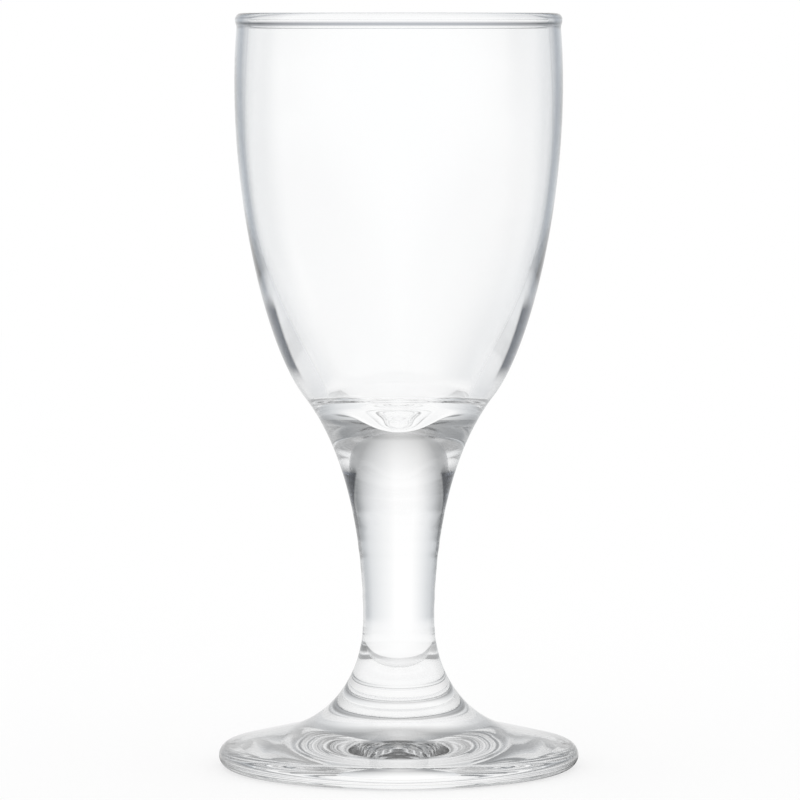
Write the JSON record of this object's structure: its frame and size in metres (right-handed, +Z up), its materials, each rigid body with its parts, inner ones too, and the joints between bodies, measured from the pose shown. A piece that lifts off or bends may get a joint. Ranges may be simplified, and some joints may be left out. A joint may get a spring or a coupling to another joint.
{
  "type": "sherry glass",
  "caption": "Clear stemmed sherry glass with an egg-shaped bowl, a solid waisted stem and a round hollow-ground foot.",
  "frame": {"origin": "middle of the foot's resting plane, on the glass's axis", "axes": "+Z up along the glass's axis, towards the rim"},
  "size_m": [0.0502, 0.0502, 0.105],
  "materials": {
    "clear_glass": "fire-polished, clear and colourless"
  },
  "bodies": {
    "root": {"foot": "clear_glass", "stem": "clear_glass", "bowl": "clear_glass"}
  },
  "joints": []
}
